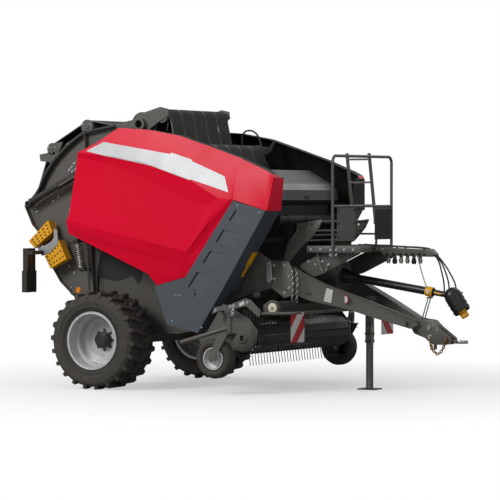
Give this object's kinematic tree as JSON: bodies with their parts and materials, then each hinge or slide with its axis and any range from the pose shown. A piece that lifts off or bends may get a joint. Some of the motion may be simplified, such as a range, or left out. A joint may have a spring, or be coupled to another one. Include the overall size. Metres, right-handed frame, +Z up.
{
  "type": "round baler",
  "caption": "Towed variable-chamber round baler with tined pickup, belts, lifting tailgate and side panels, parked on its drawbar jack.",
  "frame": {"origin": "on the ground under the middle of the machine's length and width", "axes": "+X forward to the hitch, +Y to the left, +Z up"},
  "size_m": [4.8984, 2.882, 2.925],
  "materials": {
    "red_panel": "moulded gloss red",
    "grey_panel": "moulded satin blue-grey",
    "frame_paint": "satin warm grey paint",
    "black_paint": "satin black paint",
    "black_plastic": "moulded black plastic",
    "belt": "woven-faced rubber belt",
    "tyre": "black rubber",
    "rim": "silver paint",
    "steel": "bright steel",
    "yellow": "yellow paint",
    "hose": "black rubber hose",
    "board": "red and white striped board"
  },
  "bodies": {
    "chassis": {"axle": "frame_paint", "side_walls": "frame_paint", "cross_frame": "frame_paint", "pivot_tube": "frame_paint", "tension_arm": "frame_paint", "front_roller": "frame_paint", "front_belts": "belt", "fairings": "grey_panel", "drawbar": "frame_paint", "tow_ring": "steel", "front_frame": "frame_paint", "gearbox": "black_paint", "pto_guard": "black_plastic", "jack_tube": "frame_paint", "platform": "frame_paint", "guard_rail": "frame_paint", "hose_bar": "frame_paint", "net_box": "grey_panel", "pickup_pins": "steel", "cylinder_brackets": "frame_paint", "panel_brackets": "frame_paint", "driveline_rest": "frame_paint", "hose_1": "hose", "hose_2": "hose", "hose_3": "hose", "hose_loop": "hose"},
    "wheel_right": {"tyre_right": "tyre", "rim_right": "rim", "hub_right": "black_paint"},
    "wheel_left": {"tyre_left": "tyre", "rim_left": "rim", "hub_left": "black_paint"},
    "panel_right": {"panel_right": "red_panel"},
    "panel_left": {"panel_left": "red_panel"},
    "tailgate": {"tailgate_sides": "frame_paint", "tailgate_rollers": "frame_paint", "tailgate_belts": "belt", "lamp_boards": "black_paint", "chock_holder": "steel", "wheel_chocks": "yellow"},
    "cylinder_barrels": {"cylinder_barrels": "black_paint"},
    "cylinder_rods": {"cylinder_rods": "steel"},
    "pickup": {"pickup_frame": "frame_paint", "stripper_bands": "black_paint", "press_arms": "frame_paint", "guard_tube": "frame_paint", "warning_boards": "board", "gauge_arms": "frame_paint"},
    "crop_roller": {"crop_roller": "frame_paint"},
    "pickup_reel": {"pickup_reel": "steel"},
    "caster_right": {"caster_right": "frame_paint"},
    "caster_left": {"caster_left": "frame_paint"},
    "gauge_wheel_right": {"gauge_tyre_right": "tyre", "gauge_rim_right": "rim"},
    "gauge_wheel_left": {"gauge_tyre_left": "tyre", "gauge_rim_left": "rim"},
    "jack_leg": {"jack_leg": "steel"},
    "ladder": {"ladder": "frame_paint"},
    "net_lid": {"net_lid": "grey_panel"},
    "pto_shaft": {"pto_shaft": "yellow"}
  },
  "joints": [
    {"name": "wheel_spin_right", "type": "hinge", "parent": "chassis", "child": "wheel_right", "pos_m": [-1.228, -1.085, 0.505], "axis": [0, 1, 0], "continuous": true},
    {"name": "panel_lift_right", "type": "hinge", "parent": "chassis", "child": "panel_right", "pos_m": [-1.048, -0.8, 2.66], "axis": [-0.9789, 0, 0.2044], "range_deg": [0, 60]},
    {"name": "caster_swivel_right", "type": "hinge", "parent": "pickup", "child": "caster_right", "pos_m": [0.427, -1.343, 0.7], "axis": [0, 0, 1], "range_deg": [-20, 20]},
    {"name": "gauge_spin_right", "type": "hinge", "parent": "caster_right", "child": "gauge_wheel_right", "pos_m": [0.269, -1.343, 0.367], "axis": [0, 1, 0], "continuous": true},
    {"name": "wheel_spin_left", "type": "hinge", "parent": "chassis", "child": "wheel_left", "pos_m": [-1.228, 1.085, 0.505], "axis": [0, 1, 0], "continuous": true},
    {"name": "panel_lift_left", "type": "hinge", "parent": "chassis", "child": "panel_left", "pos_m": [-1.048, 0.8, 2.66], "axis": [0.9789, 0, -0.2044], "range_deg": [0, 60]},
    {"name": "caster_swivel_left", "type": "hinge", "parent": "pickup", "child": "caster_left", "pos_m": [0.427, 1.343, 0.7], "axis": [0, 0, 1], "range_deg": [-20, 20]},
    {"name": "gauge_spin_left", "type": "hinge", "parent": "caster_left", "child": "gauge_wheel_left", "pos_m": [0.269, 1.343, 0.367], "axis": [0, 1, 0], "continuous": true},
    {"name": "tailgate_lift", "type": "hinge", "parent": "chassis", "child": "tailgate", "pos_m": [-1.032, 0, 2.747], "axis": [0, 1, 0], "range_deg": [0, 60]},
    {"name": "barrel_swing", "type": "hinge", "parent": "chassis", "child": "cylinder_barrels", "pos_m": [-1.333, 0, 2.446], "axis": [0, 1, 0], "range_deg": [0, 75]},
    {"name": "rod_slide", "type": "slide", "parent": "cylinder_barrels", "child": "cylinder_rods", "axis": [-0.8915, 0, -0.453], "range_m": [0, 0.36]},
    {"name": "pickup_lift", "type": "hinge", "parent": "chassis", "child": "pickup", "pos_m": [-0.298, 0, 0.79], "axis": [0, 1, 0], "range_deg": [0, 16]},
    {"name": "reel_spin", "type": "hinge", "parent": "pickup", "child": "pickup_reel", "pos_m": [0.412, 0, 0.56], "axis": [0, 1, 0], "continuous": true},
    {"name": "press_roller_spin", "type": "hinge", "parent": "pickup", "child": "crop_roller", "pos_m": [0.762, 0, 0.872], "axis": [0, 1, 0], "continuous": true},
    {"name": "jack_slide", "type": "slide", "parent": "chassis", "child": "jack_leg", "axis": [0, 0, 1], "range_m": [0, 0.36]},
    {"name": "ladder_fold", "type": "hinge", "parent": "chassis", "child": "ladder", "pos_m": [0.922, 0.66, 1.72], "axis": [-1, 0, 0], "range_deg": [0, 165]},
    {"name": "net_lid_lift", "type": "hinge", "parent": "chassis", "child": "net_lid", "pos_m": [-0.063, 0, 2.17], "axis": [0, -1, 0], "range_deg": [0, 70]},
    {"name": "pto_spin", "type": "hinge", "parent": "chassis", "child": "pto_shaft", "pos_m": [2.259, 0, 0.987], "axis": [0.5592, 0, -0.829], "continuous": true}
  ],
  "couplings": [
    {"joint": "barrel_swing", "follows": "tailgate_lift", "ratio": 1.18},
    {"joint": "rod_slide", "follows": "tailgate_lift", "m_per_rad": 0.328}
  ]
}
